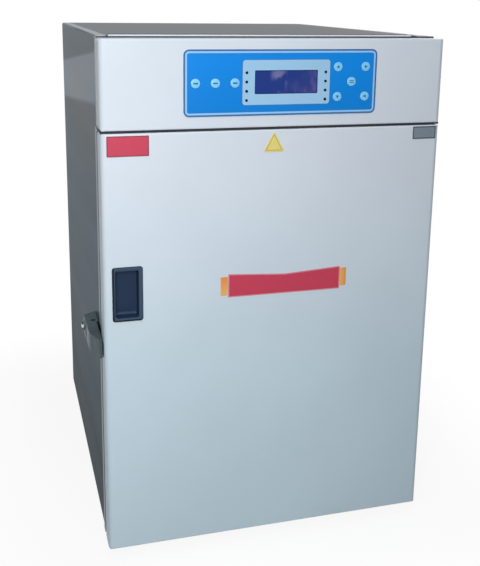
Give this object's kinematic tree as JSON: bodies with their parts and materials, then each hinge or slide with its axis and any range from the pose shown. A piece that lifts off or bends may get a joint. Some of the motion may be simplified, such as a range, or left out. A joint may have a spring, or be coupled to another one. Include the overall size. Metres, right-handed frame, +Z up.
{
  "type": "carbon dioxide incubator",
  "caption": "Jacketed upright laboratory incubator: white hinged front with keypad header, side lever latch, glass inner door, slotted shelves, fan duct and levelling feet.",
  "frame": {"origin": "on the floor under the middle of the whole object's box", "axes": "+Z up, +X to the right seen from the front, the door faces -Y"},
  "size_m": [0.6191, 0.7268, 0.885],
  "materials": {
    "stainless_side": "brushed stainless sheet, dull reflections",
    "stainless_inner": "satin stainless",
    "galvanised": "plain coated sheet",
    "white_paint": "white powder coat, fine orange peel",
    "foam": "rigid foam",
    "dark_rubber": "matte rubber",
    "pale_silicone": "translucent white silicone",
    "grey_silicone": "grey silicone",
    "cup_plastic": "slate-blue moulded plastic",
    "white_plastic": "moulded plastic",
    "black_plastic": "black moulded plastic",
    "overlay_blue": "printed polyester overlay",
    "key_blue": "pale blue printed keys",
    "lamp_dark": "unlit tinted lamps",
    "display_blue": "unlit blue display window",
    "circuit_green": "circuit board",
    "clear_glass": "clear toughened glass",
    "latch_grey": "dark grey cast metal",
    "bright_metal": "bright plated metal",
    "dark_metal": "black coated metal",
    "brass_metal": "turned brass",
    "fan_alloy": "plain aluminium",
    "red_plastic": "red rocker",
    "clear_tube": "translucent tube"
  },
  "bodies": {
    "cabinet": {"cabinet_wrap": "stainless_side", "base_pan": "galvanised", "levelling_feet": "dark_rubber", "rear_panel": "galvanised", "front_frame": "stainless_side", "foam_shell": "foam", "inner_chamber": "stainless_inner", "shelf_racks": "stainless_inner", "shelf_upper": "stainless_inner", "shelf_middle": "stainless_inner", "shelf_lower": "stainless_inner", "humidity_pan": "stainless_inner", "air_duct": "stainless_inner", "heater_ring": "dark_metal", "fan_motor": "dark_metal", "co2_sensor": "white_plastic", "temperature_probe": "bright_metal", "port_sleeve": "white_plastic", "electronics_deck": "galvanised", "control_board": "circuit_green", "power_supply": "galvanised", "gas_valve": "brass_metal", "gas_line": "clear_tube", "gas_inlet": "brass_metal", "power_inlet": "black_plastic", "header_fascia": "white_paint", "keypad_overlay": "overlay_blue", "display_window": "display_blue", "display_module": "dark_metal", "indicator_lamps": "lamp_dark", "hinge_bracket_top": "dark_metal", "hinge_bracket_bottom": "dark_metal", "glass_hinge_brackets": "bright_metal", "glass_keeper": "white_plastic", "latch_base": "latch_grey"},
    "outer_door": {"door_skin": "white_paint", "door_foam": "foam", "door_liner": "stainless_inner", "door_gasket": "dark_rubber", "door_bushes": "white_plastic", "pull_cup": "cup_plastic", "strike_plate": "bright_metal"},
    "glass_door": {"glass_pane": "clear_glass", "glass_seal": "pale_silicone", "glass_hinge_leaves": "bright_metal"},
    "glass_knob": {"glass_latch": "white_plastic"},
    "side_lever": {"latch_lever": "latch_grey"},
    "lock": {"lock_barrel": "bright_metal"},
    "fan": {"fan_wheel": "fan_alloy"},
    "plug": {"port_plug": "grey_silicone"},
    "switch": {"power_switch": "red_plastic"},
    "key1": {"key_1": "key_blue"},
    "key2": {"key_2": "key_blue"},
    "key3": {"key_3": "key_blue"},
    "key4": {"key_4": "key_blue"},
    "key5": {"key_5": "key_blue"},
    "key6": {"key_6": "key_blue"},
    "key7": {"key_7": "key_blue"},
    "key8": {"key_8": "key_blue"}
  },
  "joints": [
    {"name": "outer_door_hinge", "type": "hinge", "parent": "cabinet", "child": "outer_door", "pos_m": [0.2725, -0.3425, 0.025], "axis": [0, 0, 1], "range_deg": [0, 110]},
    {"name": "glass_door_hinge", "type": "hinge", "parent": "cabinet", "child": "glass_door", "pos_m": [0.239, -0.3175, 0.385], "axis": [0, 0, 1], "range_deg": [0, 90]},
    {"name": "glass_latch_turn", "type": "hinge", "parent": "glass_door", "child": "glass_knob", "pos_m": [-0.208, -0.3175, 0.385], "axis": [0, -1, 0], "range_deg": [0, 90]},
    {"name": "side_lever_pivot", "type": "hinge", "parent": "cabinet", "child": "side_lever", "pos_m": [-0.2945, -0.2535, 0.384], "axis": [0, 0, -1], "range_deg": [0, 60]},
    {"name": "lock_turn", "type": "hinge", "parent": "cabinet", "child": "lock", "pos_m": [-0.3058, -0.233, 0.384], "axis": [-1, 0, 0], "range_deg": [0, 90]},
    {"name": "fan_spin", "type": "hinge", "parent": "cabinet", "child": "fan", "pos_m": [0, 0.2175, 0.455], "axis": [0, 1, 0], "continuous": true},
    {"name": "plug_pull", "type": "slide", "parent": "cabinet", "child": "plug", "axis": [1, 0, 0], "range_m": [0, 0.06]},
    {"name": "switch_rock", "type": "hinge", "parent": "cabinet", "child": "switch", "pos_m": [-0.18, 0.3335, 0.8177], "axis": [-1, 0, 0], "range_deg": [0, 16]},
    {"name": "key_1_press", "type": "slide", "parent": "cabinet", "child": "key1", "axis": [0, 1, 0], "range_m": [0, 0.0005], "stiffness_N_per_m": 400},
    {"name": "key_2_press", "type": "slide", "parent": "cabinet", "child": "key2", "axis": [0, 1, 0], "range_m": [0, 0.0005], "stiffness_N_per_m": 400},
    {"name": "key_3_press", "type": "slide", "parent": "cabinet", "child": "key3", "axis": [0, 1, 0], "range_m": [0, 0.0005], "stiffness_N_per_m": 400},
    {"name": "key_4_press", "type": "slide", "parent": "cabinet", "child": "key4", "axis": [0, 1, 0], "range_m": [0, 0.0005], "stiffness_N_per_m": 400},
    {"name": "key_5_press", "type": "slide", "parent": "cabinet", "child": "key5", "axis": [0, 1, 0], "range_m": [0, 0.0005], "stiffness_N_per_m": 400},
    {"name": "key_6_press", "type": "slide", "parent": "cabinet", "child": "key6", "axis": [0, 1, 0], "range_m": [0, 0.0005], "stiffness_N_per_m": 400},
    {"name": "key_7_press", "type": "slide", "parent": "cabinet", "child": "key7", "axis": [0, 1, 0], "range_m": [0, 0.0005], "stiffness_N_per_m": 400},
    {"name": "key_8_press", "type": "slide", "parent": "cabinet", "child": "key8", "axis": [0, 1, 0], "range_m": [0, 0.0005], "stiffness_N_per_m": 400}
  ],
  "couplings": [
    {"joint": "glass_door_hinge", "follows": "outer_door_hinge", "ratio": 0.8}
  ]
}
